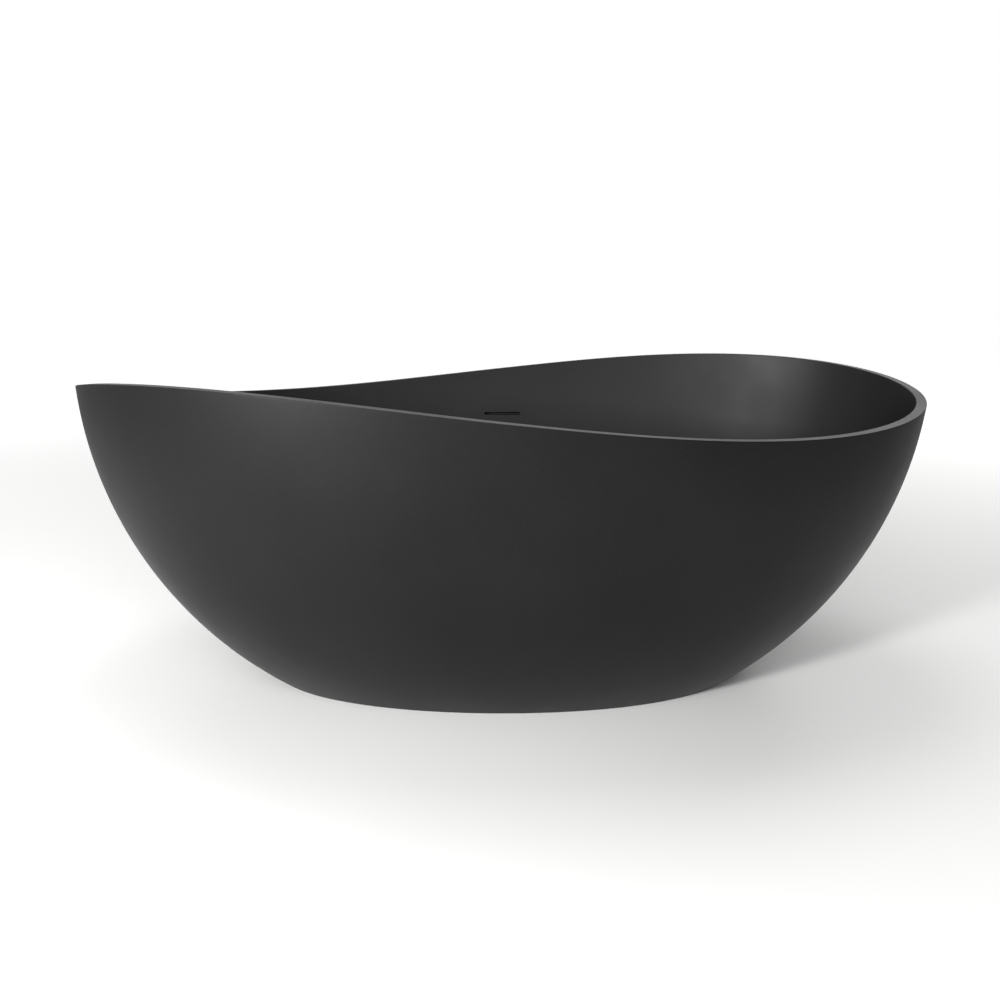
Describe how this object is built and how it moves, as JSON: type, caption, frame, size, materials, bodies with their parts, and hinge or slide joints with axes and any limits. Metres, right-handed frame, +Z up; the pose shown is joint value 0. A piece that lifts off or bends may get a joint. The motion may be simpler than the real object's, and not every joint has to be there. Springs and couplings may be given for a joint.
{
  "type": "freestanding bathtub",
  "caption": "Freestanding oval double-ended bathtub of matt black stone resin with a waved rim, overflow slot, push-open waste and levelling feet.",
  "frame": {"origin": "on the floor at the centre of the base", "axes": "+X along the tub's length, +Y towards the long side that holds the overflow slot, +Z up"},
  "size_m": [1.6982, 0.889, 0.6688],
  "materials": {
    "stone_resin": "cast, sanded, matt black",
    "glass_fibre_board": "laminated, resin-coated",
    "timber_block": "sawn softwood",
    "zinc_plated_steel": "zinc plated",
    "stainless_steel": "drawn bright",
    "turned_brass": "turned",
    "chromed_brass": "chrome plated",
    "black_rubber": "moulded",
    "grey_hose": "blow-moulded, corrugated",
    "white_plastic": "injection-moulded polypropylene",
    "black_plastic": "injection-moulded polypropylene"
  },
  "bodies": {
    "tub": {"outer_shell": "stone_resin", "inner_basin": "stone_resin", "base_board": "glass_fibre_board", "support_block_1": "timber_block", "support_block_2": "timber_block", "support_block_3": "timber_block", "support_block_4": "timber_block", "block_screw_1": "zinc_plated_steel", "block_screw_2": "zinc_plated_steel", "block_screw_3": "zinc_plated_steel", "block_screw_4": "zinc_plated_steel", "foot_insert_1": "turned_brass", "foot_insert_2": "turned_brass", "foot_insert_3": "turned_brass", "foot_insert_4": "turned_brass", "foot_locknut_1": "zinc_plated_steel", "foot_locknut_2": "zinc_plated_steel", "foot_locknut_3": "zinc_plated_steel", "foot_locknut_4": "zinc_plated_steel", "latch_cartridge": "turned_brass", "plug_spring": "stainless_steel", "waste_flange": "chromed_brass", "upper_seal": "black_rubber", "lower_seal": "black_rubber", "back_nut": "turned_brass", "waste_tee": "white_plastic", "tail_washer": "black_rubber", "tail_nut": "white_plastic", "tailpiece": "white_plastic", "overflow_gasket": "black_rubber", "overflow_box": "black_plastic", "overflow_hose": "grey_hose", "hose_clamp_upper": "stainless_steel", "hose_clamp_lower": "stainless_steel"},
    "plug": {"waste_plug": "stone_resin", "plug_seal": "black_rubber", "plug_stem": "chromed_brass"},
    "pad_1": {"foot_pad_1": "black_rubber"},
    "stud_1": {"foot_stud_1": "zinc_plated_steel"},
    "pad_2": {"foot_pad_2": "black_rubber"},
    "stud_2": {"foot_stud_2": "zinc_plated_steel"},
    "pad_3": {"foot_pad_3": "black_rubber"},
    "stud_3": {"foot_stud_3": "zinc_plated_steel"},
    "pad_4": {"foot_pad_4": "black_rubber"},
    "stud_4": {"foot_stud_4": "zinc_plated_steel"}
  },
  "joints": [
    {"name": "plug_travel", "type": "slide", "parent": "tub", "child": "plug", "axis": [0, 0, 1], "range_m": [-0.0087, 0], "stiffness_N_per_m": 400, "springref_m": 0.012, "deforming": ["plug_spring"]},
    {"name": "foot_1_height", "type": "slide", "parent": "tub", "child": "pad_1", "axis": [0, 0, -1], "range_m": [0, 0.01]},
    {"name": "foot_1_turn", "type": "hinge", "parent": "pad_1", "child": "stud_1", "pos_m": [0.30952, 0.08833, 0.02], "axis": [0, 0, -1], "range_deg": [0, 2400]},
    {"name": "foot_2_height", "type": "slide", "parent": "tub", "child": "pad_2", "axis": [0, 0, -1], "range_m": [0, 0.01]},
    {"name": "foot_2_turn", "type": "hinge", "parent": "pad_2", "child": "stud_2", "pos_m": [-0.30952, 0.08833, 0.02], "axis": [0, 0, -1], "range_deg": [0, 2400]},
    {"name": "foot_3_height", "type": "slide", "parent": "tub", "child": "pad_3", "axis": [0, 0, -1], "range_m": [0, 0.01]},
    {"name": "foot_3_turn", "type": "hinge", "parent": "pad_3", "child": "stud_3", "pos_m": [-0.30952, -0.08833, 0.02], "axis": [0, 0, -1], "range_deg": [0, 2400]},
    {"name": "foot_4_height", "type": "slide", "parent": "tub", "child": "pad_4", "axis": [0, 0, -1], "range_m": [0, 0.01]},
    {"name": "foot_4_turn", "type": "hinge", "parent": "pad_4", "child": "stud_4", "pos_m": [0.30952, -0.08833, 0.02], "axis": [0, 0, -1], "range_deg": [0, 2400]}
  ],
  "couplings": [
    {"joint": "foot_1_turn", "follows": "foot_1_height", "rad_per_m": 4188.8},
    {"joint": "foot_2_turn", "follows": "foot_2_height", "rad_per_m": 4188.8},
    {"joint": "foot_3_turn", "follows": "foot_3_height", "rad_per_m": 4188.8},
    {"joint": "foot_4_turn", "follows": "foot_4_height", "rad_per_m": 4188.8}
  ]
}
